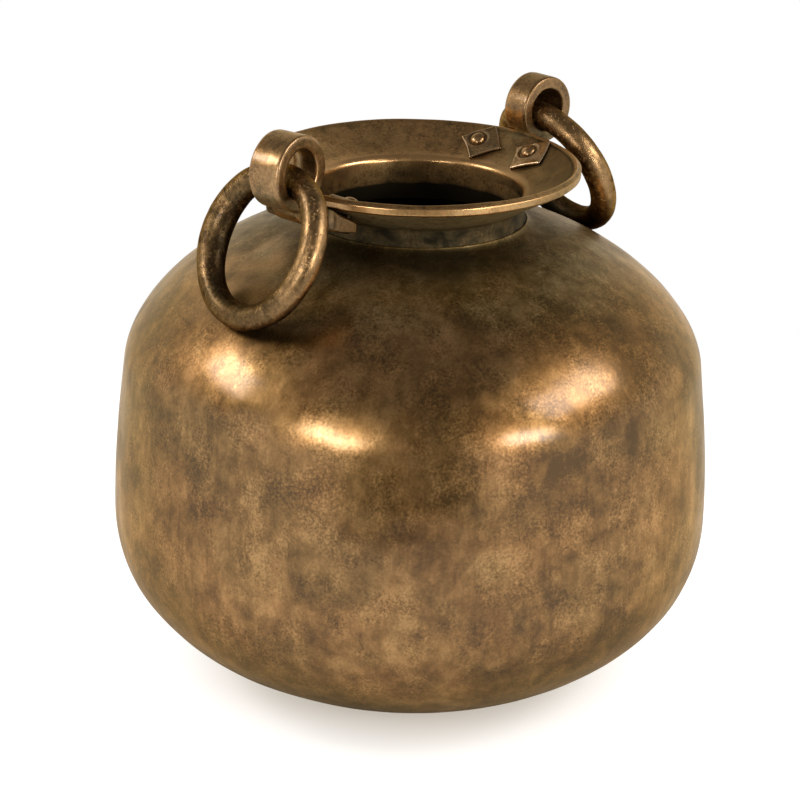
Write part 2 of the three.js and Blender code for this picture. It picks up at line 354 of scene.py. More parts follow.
def plus(tree, a, b, clamp=False):
    return calc(tree, "ADD", a, b, clamp)


def minus(tree, a, b, clamp=False):
    return calc(tree, "SUBTRACT", a, b, clamp)


def times(tree, a, b, clamp=False):
    return calc(tree, "MULTIPLY", a, b, clamp)


def grain(tree, vector, scale, detail=4.0, rough=0.6, distortion=0.0):
    values = {
        "Vector": vector,
        "Scale": scale,
        "Detail": detail,
        "Roughness": rough,
        "Distortion": distortion,
    }
    return make(tree, "ShaderNodeTexNoise", values).outputs[0]


# Part of a value above a level, stretched to 0 to 1
def above(tree, value, low, high):
    values = {"Value": value, "From Min": low, "From Max": high}
    return make(tree, "ShaderNodeMapRange", values, interpolation_type="SMOOTHSTEP").outputs[0]


def blend(tree, share, a, b, mode="MIX"):
    node = make(tree, "ShaderNodeMix", data_type="RGBA", blend_type=mode)
    for socket, value in ((node.inputs[0], share), (node.inputs[6], a), (node.inputs[7], b)):
        if isinstance(value, bpy.types.NodeSocket):
            tree.links.new(value, socket)
        else:
            socket.default_value = value
    return node.outputs[2]


def mark(tree, label):
    return make(tree, "ShaderNodeAttribute", attribute_name=label).outputs["Fac"]


# How far a vector goes along a direction
def along_way(tree, vector, way):
    values = {0: vector, 1: way}
    return make(tree, "ShaderNodeVectorMath", values, operation="DOT_PRODUCT").outputs["Value"]


# Colours, wax and scratches that the bronzes share; a set of scratches is (lean, scale)
# Olive-black of dirt, also used to paint shade
DIRT_AND_SHADE = (0.020, 0.016, 0.009, 1)
OLIVE_CAST = (0.92, 1.26, 1.75, 1)
COOL_CAST = (0.96, 1.0, 0.98, 1)
WARM_CAST = (1.04, 0.99, 0.96, 1)
DULL_EDGE = (1, 0.95, 0.86, 1)
WAX_IOR = 2.4
WAX_ROUGHNESS = 0.2
STREAK_STRETCH = (1, 1, 0.2)
SCRATCH_STRETCH = (1, 1, 0.025)
SCRATCH_SETS = ((12, 700), (-25, 900), (80, 800))


# Bronze under a cloudy brown patina; marks on the mesh rub it bright, dull it, or darken it with
# dirt and painted shade. Layers of the patina are (scale, share), from clouds down to speckle;
# pits are (scale, level, share), and bump is the relief of blotches, speckle and pits in
# millimetres
def bronze(
    name,
    tones,
    clouds=(9, 0.8),
    blotches=(26, 0.9),
    mottle=(80, 0.8),
    speckle=(560, 1.2),
    pits=(600, 0.66, 0.5),
    rough=(0.27, 0.41),
    edge=(1.0, 0.82, 0.53),
    bump=(0.06, 0.012, 0.03),
    streaks=0.0,
    scratches=0.0,
    coat=0.18,
):
    material, tree = new_material(name)
    darkest = (*tones[0][1], 1)
    brightest = (*tones[-1][1], 1)
    place = make(tree, "ShaderNodeTexCoord").outputs["Object"]
    big = grain(tree, place, clouds[0], 3, 0.55, 0.6)
    middle = grain(tree, place, blotches[0], 4, 0.5, 0.5)
    small = grain(tree, place, mottle[0], 5, 0.6, 0.3)
    fine = grain(tree, place, speckle[0], 3, 0.7)

    # Tone of the patina, from dark to bright
    gritty = above(tree, grain(tree, place, 1.6 * blotches[0], 3, 0.6), 0.4, 0.64)
    grit = times(tree, minus(tree, fine, 0.5), plus(tree, 0.45, gritty))
    tone = plus(tree, 0.5, times(tree, grit, speckle[1]))
    layers = [(big, clouds[1]), (middle, blotches[1]), (small, mottle[1])]
    if streaks:
        values = {"Vector": place, "Scale": STREAK_STRETCH}
        stretched = make(tree, "ShaderNodeMapping", values).outputs[0]
        layers.append((grain(tree, stretched, 110, 6, 0.7, 0.8), streaks))
    for value, share in layers:
        tone = plus(tree, tone, times(tree, minus(tree, value, 0.5), share))
    ramp = make(tree, "ShaderNodeValToRGB", {0: tone})
    stops = ramp.color_ramp.elements
    while len(stops) < len(tones):
        stops.new(0.5)
    for stop, (at, colour) in zip(stops, tones):
        stop.position = at
        stop.color = (*colour, 1)

    # Colour, with a drift of hue, pits, and what the marks do to it
    leaning = above(tree, grain(tree, place, 0.7 * blotches[0], 4, 0.6, 0.4), 0.32, 0.68)
    cast = blend(tree, leaning, COOL_CAST, WARM_CAST)
    colour = blend(tree, 1.0, ramp.outputs[0], cast, "MULTIPLY")
    hollow = above(tree, grain(tree, place, pits[0], 2, 0.5), pits[1], pits[1] + 0.1)
    colour = blend(tree, times(tree, hollow, pits[2]), colour, darkest)
    patchy = plus(tree, 0.5, middle)
    dull = times(tree, mark(tree, "dull"), patchy, clamp=True)
    colour = blend(tree, dull, colour, blend(tree, 1.0, colour, OLIVE_CAST, "MULTIPLY"))
    uneven = plus(tree, 0.1, plus(tree, middle, fine))
    worn = times(tree, mark(tree, "wear"), uneven, clamp=True)
    colour = blend(tree, worn, colour, brightest)
    # Dirt and painted shade darken the colour towards olive-black
    darkened = times(tree, mark(tree, "dirt_and_shade"), patchy, clamp=True)
    colour = blend(tree, darkened, colour, DIRT_AND_SHADE)
    if scratches:
        for lean, size in SCRATCH_SETS:
            tilt = (math.radians(lean), math.radians(lean), 0)
            values = {"Vector": place, "Rotation": tilt}
            turned = make(tree, "ShaderNodeMapping", values).outputs[0]
            values = {"Vector": turned, "Scale": SCRATCH_STRETCH}
            drawn = make(tree, "ShaderNodeMapping", values).outputs[0]
            lines = above(tree, grain(tree, drawn, size, 1, 0.4), 0.72, 0.78)
            colour = blend(tree, times(tree, lines, scratches), colour, brightest)

    # Gloss, wax and relief
    values = {
        "Value": middle,
        "From Min": 0.3,
        "From Max": 0.7,
        "To Min": rough[1],
        "To Max": rough[0],
    }
    covered = plus(tree, darkened, dull)
    gloss = make(tree, "ShaderNodeMapRange", values).outputs[0]
    gloss = plus(tree, gloss, times(tree, hollow, 0.15))
    gloss = minus(tree, gloss, times(tree, worn, 0.06))
    gloss = plus(tree, gloss, times(tree, covered, 0.15), clamp=True)
    waxed = times(tree, minus(tree, 1.0, covered, clamp=True), coat)
    height = times(tree, middle, bump[0])
    height = plus(tree, height, times(tree, fine, bump[1]))
    height = minus(tree, height, times(tree, hollow, bump[2]))
    values = {"Height": height, "Distance": 0.001, "Strength": 1.0}
    relief = make(tree, "ShaderNodeBump", values).outputs[0]
    shader = make(
        tree,
        "ShaderNodeBsdfPrincipled",
        {
            "Base Color": colour,
            "Metallic": 1.0,
            "Roughness": gloss,
            "Normal": relief,
            "Specular Tint": blend(tree, dull, (*edge, 1), DULL_EDGE),
            "Coat Weight": waxed,
            "Coat Roughness": WAX_ROUGHNESS,
            "Coat IOR": WAX_IOR,
        },
    )
    make(tree, "ShaderNodeOutputMaterial", {"Surface": shader.outputs[0]})
    return material


# Tones of each patina, from its darkest to rubbed metal
BODY_TONES = (
    (0.15, (0.090, 0.045, 0.010)),
    (0.42, (0.182, 0.092, 0.024)),
    (0.62, (0.272, 0.143, 0.044)),
    (0.95, (0.455, 0.252, 0.092)),
)
RIM_TONES = (
    (0.15, (0.200, 0.112, 0.039)),
    (0.42, (0.395, 0.217, 0.074)),
    (0.65, (0.540, 0.300, 0.107)),
    (0.95, (0.620, 0.357, 0.142)),
)
LUG_TONES = (
    (0.15, (0.095, 0.055, 0.020)),
    (0.42, (0.205, 0.115, 0.041)),
    (0.65, (0.325, 0.185, 0.070)),
    (0.95, (0.500, 0.290, 0.120)),
)
ROVE_TONES = (*LUG_TONES[:3], (0.95, (0.620, 0.430, 0.245)))
RING_TONES = (
    (0.15, (0.042, 0.027, 0.011)),
    (0.42, (0.084, 0.051, 0.021)),
    (0.62, (0.148, 0.089, 0.036)),
    (0.95, (0.400, 0.238, 0.103)),
)
bronze_body = bronze(
    "bronze_body",
    BODY_TONES,
    clouds=(9, 0.9),
    blotches=(26, 1.0),
    mottle=(80, 1.0),
    streaks=0.7,
    scratches=0.2,
)
bronze_rim = bronze(
    "bronze_rim",
    RIM_TONES,
    clouds=(16, 0.8),
    blotches=(60, 1.0),
    mottle=(150, 1.0),
    speckle=(560, 1.6),
    streaks=0.4,
)
bronze_lug = bronze(
    "bronze_lug",
    LUG_TONES,
    clouds=(22, 0.6),
    blotches=(90, 0.8),
    mottle=(260, 0.8),
    rough=(0.3, 0.46),
    scratches=0.4,
)
bronze_ring = bronze(
    "bronze_ring",
    RING_TONES,
    clouds=(24, 0.6),
    blotches=(90, 0.6),
    mottle=(260, 1.0),
    speckle=(480, 2.1),
    pits=(480, 0.6, 0.5),
    rough=(0.3, 0.46),
    edge=(0.5, 0.4, 0.27),
    bump=(0.1, 0.2, 0.3),
    coat=0.03,
)
bronze_rove = bronze(
    "bronze_rove",
    ROVE_TONES,
    clouds=(40, 0.5),
    blotches=(120, 0.7),
    rough=(0.28, 0.42),
)
bronze_rivet = bronze(
    "bronze_rivet",
    LUG_TONES,
    clouds=(60, 0.4),
    blotches=(200, 0.5),
    rough=(0.28, 0.42),
)


# Outer face of the body, from the base flat up to the mouth
def body_face():
    lean = math.radians(6.6)
    slope = math.radians(11)
    belly = (BELLY_RADIUS, BELLY_HEIGHT)
    bend = np.array((201.0, 231.0))
    handle = 38.5 * np.array((-math.sin(lean), math.cos(lean)))
    mouth = np.array((MOUTH_RADIUS, MOUTH_HEIGHT))
    spread = 60 * np.array((math.cos(slope), -math.sin(slope)))
    lower = bezier((BASE_RADIUS, 0), (98.6, 0), (BELLY_RADIUS, 30), belly, 70)
    side = bezier(belly, (BELLY_RADIUS, 167), bend - handle, bend, 40)
    shoulder = bezier(bend, bend + handle, mouth + spread, mouth, 90)
    return joined(lower, side, shoulder)


# Height of the beaten skin above the turned form: wide waves, hammer dishes, dents and a crease
def beaten_height(points):
    level = points[:, 2]
    waves = 0.5 * wander(points, 62, 1) + 0.2 * wander(points, 28, 2)
    blows = 0.22 * (dishes(points, 21, 3) - 0.45)
    held = smooth(level, 3, 40) * (1 - smooth(level, 322, 328))
    height = held * (waves + blows)
    azimuth = np.arctan2(points[:, 1], points[:, 0])
    radius = reach(points)
    for turned, middle, width, depth in DENTS:
        off = turned_from(azimuth, turned) * radius
        away = np.hypot(off, level - middle) / (0.5 * width)
        height -= depth * (np.exp(-(away**4)) - 0.35 * near(away, 1.25, 0.3))
    crease = turned_from(azimuth, CREASE_AZIMUTH) * radius
    along = smooth(level, 195, 210) * (1 - smooth(level, 235, 250))
    return height + 0.3 * along * near(crease, 0, 4)


# Body: turned from its outline, with a shoulder that sweeps up to the neck, then beaten
def make_body():
    face = body_face()
    face = face[: np.argmax((face[:, 0] < SHOULDER_END) & (face[:, 1] > 300))]
    lip = joined(
        bezier(face[-1], (83.5, 326.4), (77.9, 327.6), (76.5, 330.6), 12),
        bezier((76.5, 330.6), (76.3, 331.1), (75.7, 331.3), (75.4, 330.9), 4),
        line((75.4, 330.9), (76.2, 328.2), 2),
        line((76.2, 328.2), (76.1, 325), 2),
    )
    inside = (face - WALL * right_of(face))[::-1][::3]
    flat = line((0, 0), (BASE_RADIUS, 0), 8)
    floor = line(inside[-1], (0, WALL), 4)
    beaten = len(face) + 8

    def bump(points):
        height = np.zeros(len(points))
        outer = np.arange(len(points)) // BODY_STEPS < beaten
        height[outer] = beaten_height(points[outer])
        return height

    points, faces = turn(joined(flat, face, lip, inside, floor), BODY_STEPS, bump)
    marks = body_marks(points, np.arange(len(points)) // BODY_STEPS - beaten)
    item = make_object("beaten_body", points, faces, bronze_body, marks)
    return ride(item, "pot", "body", "vessel_body")


# Wear, dirt and painted shade on the body; rows are counted from the end of the beaten face
def body_marks(points, row):
    level = points[:, 2]
    lip_rows = (row > 10) & (row < 18)
    outer = row < 13
    # Darker round the neck: dirt, with painted shade under the rim that is heavier on the
    # camera's side
    neck_dirt_and_shade = smooth(reach(points), 128, 84) * outer
    neck_dirt_and_shade *= 0.35 + 0.5 * smooth(-points[:, 0] - points[:, 1], 20, 140)
    high = smooth(level, 286, 320) * outer
    # Lower belly: painted shade near the floor, and a more olive patina
    low = smooth(level, 70, 15) * outer
    wear = np.zeros(len(points))
    ring_contact_shade = np.zeros(len(points))
    for side in (-1, 1):
        # Rubbed patch behind each ring, which also paints light onto the shoulder there
        spot = points[:, :2] - side * np.array(RUB_AND_SHEEN_PLACE)
        spot = np.linalg.norm(spot, axis=1) / RUB_AND_SHEEN_RADIUS
        wear += 0.5 * outer * np.exp(-(spot**4)) * (level > 280)
        # Painted shadow of the ring on the shoulder
        start = side * np.array(RING_SHADOW_FROM)
        run = side * np.array(RING_SHADOW_TO) - start
        share = np.clip((points[:, :2] - start) @ run / (run @ run), 0, 1)
        off = np.linalg.norm(points[:, :2] - start - share[:, None] * run, axis=1)
        ring_contact_shade += 0.6 * outer * near(off, 0, RING_SHADOW_WIDTH) * (level > 270)
    wear *= 0.7 + 0.8 * wander(points, 16, 14)
    dirt_and_shade = neck_dirt_and_shade * ~lip_rows * (1 - np.clip(wear, 0, 1))
    dirt_and_shade += 0.25 * lip_rows + 0.25 * low + ring_contact_shade
    # Inside the body is painted black as shade
    dirt_and_shade = np.where(row > 18, 1.0, dirt_and_shade)
    dull = np.maximum(0.9 * high + 0.3 * low, 0.5 * lip_rows)
    return {"wear": wear, "dirt_and_shade": dirt_and_shade, "dull": dull}


def flare_height(radius):
    return RIM_HEIGHT - (RIM_RADIUS - RIM_CHAMFER - radius) * math.tan(FLARE_SLOPE)


def underside_height(radius):
    return UNDERSIDE_HEIGHT + (radius - NECK_RADIUS) * math.tan(UNDERSIDE_SLOPE)


# Section of the rim, from the neck's lower edge round the flare and back down the bore
def rim_outline():
    band_top = (RIM_RADIUS, RIM_HEIGHT - RIM_CHAMFER_DROP)
    band_foot = (RIM_RADIUS, underside_height(RIM_RADIUS))
    crest = (RIM_RADIUS - RIM_CHAMFER, RIM_HEIGHT)
    roll = np.array((86, flare_height(86)))
    throat = (77.0, 352.6)
    wall_top = (72.7, 348.2)
    seat = (75.8, 328.5)
    neck_top = (74, UNDERSIDE_HEIGHT - 2)
    under = (NECK_RADIUS + 4, underside_height(NECK_RADIUS + 4))
    return joined(
        line((NECK_BORE, NECK_BOTTOM), (NECK_RADIUS, NECK_BOTTOM), 2),
        line((NECK_RADIUS, NECK_BOTTOM), seat, 4),
        bezier(seat, (74.6, 332), (74, 336), neck_top, 8),
        bezier(neck_top, (74, UNDERSIDE_HEIGHT), (75, UNDERSIDE_HEIGHT + 0.8), under, 5),
        line(under, (108, underside_height(108)), 16),
        rounded(under, band_foot, band_top, 0.8),
        line((RIM_RADIUS, band_foot[1] + 0.8), (RIM_RADIUS, band_top[1] - 0.5), 5),
        rounded(band_foot, band_top, crest, 0.5),
        between(band_top, crest, 0.5, 6),
        rounded(band_top, crest, roll, 0.5),
        line((107, flare_height(107)), roll, 16),
        bezier(roll, roll - np.array((4.0, 2.4)), (79.6, 353.5), throat, 8),
        bezier(throat, (74.8, 351.8), (73.0, 350.4), wall_top, 12),
        line(wall_top, (NECK_BORE, NECK_BOTTOM + 1), 14),
    )


# Scuffed stretch on top of the rim, beside the right lug
def scuffed(points):
    radius = reach(points)
    azimuth = np.degrees(np.arctan2(points[:, 1], points[:, 0]))
    top = points[:, 2] > underside_height(radius) + 3
    return near(azimuth, -1, 8) * smooth(radius, 97, 105) * top


def rim_bump(points):
    free = smooth(points[:, 2], 333, 345)
    edge = smooth(reach(points), 98, 111)
    beaten = scuffed(points) * (0.5 + 0.9 * wander(points, 5, 8))
    even = free * (0.25 * wander(points, 40, 5) + 0.1 * wander(points, 14, 6))
    return even + 0.25 * edge * wander(points, 22, 7) + beaten


# Rim: cast and turned, with a worn edge band and a soft bright throat
def make_rim():
    points, faces = turn(rim_outline(), RIM_STEPS, rim_bump, closed=True)
    item = make_object("cast_rim", points, faces, bronze_rim, rim_marks(points))
    return ride(item, "pot", "rim", "rim_flange")


def rim_marks(points):
    radius = reach(points)
    height = points[:, 2]
    top = height > underside_height(radius + 1) - 0.2
    top |= height > underside_height(1) + radius * math.tan(UNDERSIDE_SLOPE) - 0.2
    # Side of the rim on the camera's right, where shade is painted
    right_side = smooth(points[:, 0] - points[:, 1], 40, 130)
    band = smooth(radius, 110.9, 111.3)
    band_edge = near(height, RIM_HEIGHT - RIM_CHAMFER_DROP, 0.5)
    edge_lines = np.maximum(near(radius, 108.4, 0.5), band_edge)
    edge_lines *= radius > 107
    chamfer = smooth(radius, 108.6, 109.2) * smooth(radius, 111.2, 110.7) * (height > 366)
    inside_edge = near(radius, 106.4, 1.3) * top
    lip = smooth(radius, 79.5, 76.5) * smooth(height, 347.5, 349.5)
    lip *= np.clip(0.75 + 0.7 * wander(points, 15, 12), 0, 1)
    scuff = scuffed(points) * smooth(wander(points, 4, 9), -0.1, 0.35)
    wear = 0.25 * band * (1 - right_side) + 0.6 * edge_lines + 0.9 * lip + 0.9 * scuff
    inner = (radius < 73.2) & (height < 348.6)
    # Underside of the flare and the neck below it: painted shade, darkest just beneath the flare
    below = ~top & ~inner & (radius < 110.5)
    neck = below * smooth(height, 347, 340)
    far_side = smooth(points[:, 0] + 0.9 * points[:, 1], 55, 95)
    # Inside the bore: stains, with painted shade deepening to black down the neck
    stains_and_bore_shade = 0.15 + smooth(height, 334.5, 329.5) + 0.2 * smooth(height, 348, 338)
    stains_and_bore_shade += 0.4 * np.clip(wander(points, 14, 11), 0, 1) + 0.25 * far_side
    dirt_and_shade = 0.72 * neck + 0.22 * below + 0.4 * chamfer + 0.35 * inside_edge
    dirt_and_shade = np.where(inner, stains_and_bore_shade, dirt_and_shade)
    # Painted shade on the right of the rim's top and band
    dirt_and_shade += 0.7 * right_side * top * (radius < 106) + 0.3 * right_side * band
    dull = 0.05 + 0.3 * right_side + 0.7 * scuffed(points) + 0.15 * inner
    dull = np.where(below, 1.0 - 0.25 * neck, dull)
    return {"wear": np.clip(wear, 0, 1), "dirt_and_shade": dirt_and_shade, "dull": dull}


# Eye of a lug: a thick tube along Y with rounded edges, tapered or worn inside
def lug_eye(place):
    half = place["width"] / 2
    radius, bore = place["radius"], place["bore"]
    section = joined(
        line((bore, -half + EYE_EDGE), (bore, half - EYE_EDGE), 12),
        rounded((bore, 0), (bore, half), (radius, half), EYE_EDGE),
        rounded((bore, half), (radius, half), (radius, 0), EYE_EDGE),
        line((radius, half - EYE_EDGE), (radius, EYE_EDGE - half), 12),
        rounded((radius, 0), (radius, -half), (bore, -half), EYE_EDGE),
        rounded((radius, -half), (bore, -half), (bore, 0), EYE_EDGE),
    )[:-1]
    points, faces = turn(section[::-1], EYE_STEPS, closed=True)
    narrow = place["taper"] * smooth(reach(points), bore + 3, bore + 1)
    narrow *= smooth(-points[:, 2], -half, half)
    narrow = narrow[:, None]
    points[:, :2] = points[:, :2] * (1 - 0.2 * narrow) + narrow * np.array((-3.0, -3.6))
    span = reach(points)
    worn = place["worn"] * smooth(span, bore + 6, bore + 1)
    worn *= smooth(-points[:, 0] / span, -0.1, 0.7) * smooth(points[:, 2], -2, half - 2)
    points[:, :2] *= 1 + (worn / span)[:, None]
    put = Matrix.Translation((place["centre"], place["along"], place["height"]))
    put = put @ Matrix.Rotation(math.radians(place["yaw"]), 4, "Z")
    put = put @ Matrix.Rotation(math.pi / 2, 4, "X")
    return moved(points, put), faces


def foot_bottom(radius):
    return FOOT_BOTTOM + (radius - FOOT_INNER) * math.tan(FOOT_SLOPE)


# Stem of a lug: sweeps out from the foot and up into the wall of the eye
def lug_stem(place):
    middle = (place["radius"] + place["bore"]) / 2
    arc = np.radians(np.linspace(-75, -120, 10))
    into_eye = middle * np.column_stack((np.cos(arc), np.sin(arc)))
    into_eye += np.array((place["centre"], place["height"]))
    front = into_eye[0]
    edge = foot_bottom(FOOT_OUTER) + 1.5
    root = (FOOT_OUTER, edge)
    sweep = bezier(root, (FOOT_OUTER + 13, edge + 0.5), front + np.array((0.5, -9)), front, 10)
    outline = joined(line((FOOT_OUTER - 6, edge + 3), root, 3), sweep, into_eye)
    slim = outline - right_of(outline, closed=True)
    half = place["width"] / 2 - 1.5
    low, high = place["along"] - half, place["along"] + half
    return carried([(low, slim), (low + 1, outline), (high - 1, outline), (high, slim)])


# Foot of a lug: a straight bar under the flare, drawn in at both ends
def lug_foot():
    inner_foot = (FOOT_INNER, FOOT_BOTTOM)
    inner_top = (FOOT_INNER, underside_height(FOOT_INNER) - FOOT_GAP)
    outer_foot = (FOOT_OUTER, foot_bottom(FOOT_OUTER))
    outer_top = (FOOT_OUTER, underside_height(FOOT_OUTER) - FOOT_GAP)
    before_round = (FOOT_OUTER - FOOT_ROUND, foot_bottom(FOOT_OUTER - FOOT_ROUND))
    outline = joined(
        line(inner_foot, before_round, 10),
        rounded(inner_foot, outer_foot, outer_top, FOOT_ROUND),
        line((FOOT_OUTER, outer_foot[1] + FOOT_ROUND), outer_top, 4),
        line(outer_top, inner_top, 10),
        line(inner_top, inner_foot, 3),
    )[:-1]
    core = np.mean(outline, axis=0)
    shares = [(-35, 0.72), (-34.3, 0.84), (-33.2, 0.93), (-31.8, 0.98)]
    shares += [(y, 1.0) for y in np.linspace(-30.5, 26.5, 30)]
    shares += [(27.8, 0.98), (29.2, 0.93), (30.3, 0.84), (31, 0.72)]
    points, faces = carried([(y, core + share * (outline - core)) for y, share in shares])
    return jitter(points, 8, 0.2, (31, 32, 33)), faces


# Lug: a heavy eye on a stem outside the rim, with a straight foot under the flare
def make_lug(side, place):
    half = place["width"] / 2
    radius, bore = place["radius"], place["bore"]
    points, faces = fused(side + "_casting", [lug_eye(place), lug_stem(place)], 0.8, 6)
    foot, foot_faces = lug_foot()
    faces = faces + [tuple(len(points) + i for i in face) for face in foot_faces]
    points = jitter(np.vstack((points, foot)), 12, 0.12, (8, 9, 10))
    level = points[:, 2]
    from_eye = points - np.array((place["centre"], place["along"], place["height"]))
    span = np.hypot(from_eye[:, 0], from_eye[:, 2])
    on_eye = level > place["height"] - radius
    on_foot = np.arange(len(points)) >= len(points) - len(foot)
    near_end = smooth(points[:, 1], 22, 28)
    edges = np.maximum(near(span, radius - 1, 1.2), near(span, bore + 1, 1.2))
    edges *= smooth(np.abs(from_eye[:, 1]), half - 3, half - 0.5)
    wear = np.where(on_foot, 0.2 * near_end, np.where(on_eye, 0.4 * edges, 0))
    dirt_and_shade = np.where(span < bore + 1, 0.45, place["stain"])
    # Foot: painted shade under the flare, lighter and a little worn towards its far end
    dirt_and_shade = np.where(on_foot, 0.6 - 0.35 * near_end, dirt_and_shade)
    dull = 0.8 * smooth(level, place["height"] - 4, place["height"] - 18)
    dull *= smooth(level, 356, 364)
    marks = {"wear": wear, "dirt_and_shade": dirt_and_shade, "dull": dull}
    points = moved(points, Matrix.Rotation(math.radians(place["turn"]), 4, "Z"))
    item = make_object(side + "_cast_lug", points, faces, bronze_lug, marks)
    item.data.set_sharp_from_angle(angle=math.radians(48))
    return ride(item, "pot", "lug", side + "_lug")


# Frame on the flare at a rivet: Z is square to the flare, X runs up its slope
def rivet_frame(turn_degrees, azimuth):
    put = Matrix.Rotation(math.radians(turn_degrees) + azimuth, 4, "Z")
    put = put @ Matrix.Translation((RIVET_RADIUS, 0, flare_height(RIVET_RADIUS)))
    return put @ Matrix.Rotation(-FLARE_SLOPE, 4, "Y")


# Flat plate coordinates bent to the funnel of the flare
def funnelled(points):
    up, across, above_flare = points.T
    turn_by = across / RIVET_RADIUS
    radius = RIVET_RADIUS + up * math.cos(FLARE_SLOPE) - above_flare * math.sin(FLARE_SLOPE)
    height = up * math.sin(FLARE_SLOPE) + above_flare * math.cos(FLARE_SLOPE)
    outward = radius * np.cos(turn_by) - RIVET_RADIUS
    return np.column_stack(
        (
            outward * math.cos(FLARE_SLOPE) + height * math.sin(FLARE_SLOPE),
            radius * np.sin(turn_by),
            height * math.cos(FLARE_SLOPE) - outward * math.sin(FLARE_SLOPE),
        )
    )


# Faces of a square plate: its top, its underside and its edge
def plate_faces(steps):
    count = steps + 1
    base = count**2

    def at(i, j):
        return i * count + j

    faces = []
    for i in range(steps):
        for j in range(steps):
            a, b, c, d = at(i, j), at(i + 1, j), at(i + 1, j + 1), at(i, j + 1)
            faces.append((a, b, c, d))
            faces.append((base + a, base + d, base + c, base + b))
    loop = [at(i, 0) for i in range(steps)]
    loop += [at(steps, j) for j in range(steps)]
    loop += [at(steps - i, steps) for i in range(steps)]
    loop += [at(0, steps - j) for j in range(steps)]
    for a, b in zip(loop, loop[1:] + loop[:1]):
        faces.append((b, a, base + a, base + b))
    return faces


# Rove: a hand-cut square plate with a raised edge and a ring pressed in round its rivet
def make_rove(side, number, put):
    seed = 20 + number + (10 if side == "left" else 0)
    run = np.linspace(-1, 1, ROVE_STEPS + 1)
    run = np.sign(run) * (1 - (1 - np.abs(run)) ** 1.5)
    u, v = (grid.ravel() for grid in np.meshgrid(run, run, indexing="ij"))
    half = ROVE_SIDE / 2
    flat = np.column_stack((u * half, v * half, np.zeros(len(u))))
    flat[:, :2] += 0.3 * np.column_stack((wander(flat, 16, seed), wander(flat, 16, seed + 3)))
    set_down = Matrix.Translation((ROVE_DOWN, ROVE_ALONG, 0))
    turned = moved(flat, set_down @ Matrix.Rotation(ROVE_TURN, 4, "Z"))
    edge = np.maximum(np.abs(u), np.abs(v))
    from_rivet = reach(turned)
    lift = 0.3 + 0.8 * smooth(-turned[:, 0], 3, 13)
    top = ROVE_THICKNESS - 0.3 + 0.15 * smooth(edge, 0.6, 0.9) - 0.45 * smooth(edge, 0.95, 1.0)
    top += 0.3 * near(from_rivet, 8.4, 0.8) - 0.45 * near(from_rivet, 6.5, 0.8)
    top += 0.1 * wander(turned, 5, seed + 6)
    upper = np.column_stack((turned[:, :2], lift + top))
    lower = np.column_stack((turned[:, :2], lift))
    points = moved(funnelled(np.vstack((upper, lower))), put)
    wear = np.tile(0.7 * smooth(edge, 0.9, 0.97) + 0.35 * near(from_rivet, 8.4, 0.9), 2)
    dirt_and_shade = np.tile(0.6 * near(from_rivet, 6.3, 0.9), 2)
    # Underside painted dark as shade, which also darkens the plate's lower edge
    dirt_and_shade[len(u) :] = 1.0
    marks = {"wear": wear, "dirt_and_shade": dirt_and_shade}
    faces = plate_faces(ROVE_STEPS)
    item = make_object(f"{side}_plate_{number}", points, faces, bronze_rove, marks)
    return ride(item, "pot", "rove", f"{side}_rove_{number}")


# Rivet: a dome beaten down over the rove, a shank and a flat tail under the foot
def make_rivet(side, number, put):
    seed = 40 + number + (5 if side == "left" else 0)
    seat = ROVE_THICKNESS - 0.2
    outline = joined(
        line((0, -18.2), (3.6, -18.2), 3),
        rounded((0, -18.2), (4.6, -18.2), (4.6, -16), 0.9),
        line((4.6, -16.6), (4.6, -16), 1),
        line((4.6, -16), (3, -16), 2),
        line((3, -16), (3, seat), 6),
        line((3, seat), (5.4, seat), 2),
        bezier((5.4, seat), (5.4, seat + 1.5), (3.6, seat + 3.2), (0, seat + 3.3), 12),
    )

    def bump(points):
        return 0.16 * wander(points, 3.4, seed) * (points[:, 2] > seat - 0.1)

    points, faces = turn(outline, RIVET_STEPS, bump)
    wear = 0.3 * smooth(points[:, 2], seat + 1.6, seat + 3.2)
    # Shank and tail: painted shade under the rove and the foot
    dirt_and_shade = 0.5 * (points[:, 2] < seat + 0.7) + 0.5 * (points[:, 2] < 0)
    marks = {"wear": wear, "dirt_and_shade": dirt_and_shade}
    points = moved(points, put)
    item = make_object(f"{side}_dome_{number}", points, faces, bronze_rivet, marks)
    return ride(item, "pot", "rivet", f"{side}_rivet_{number}")


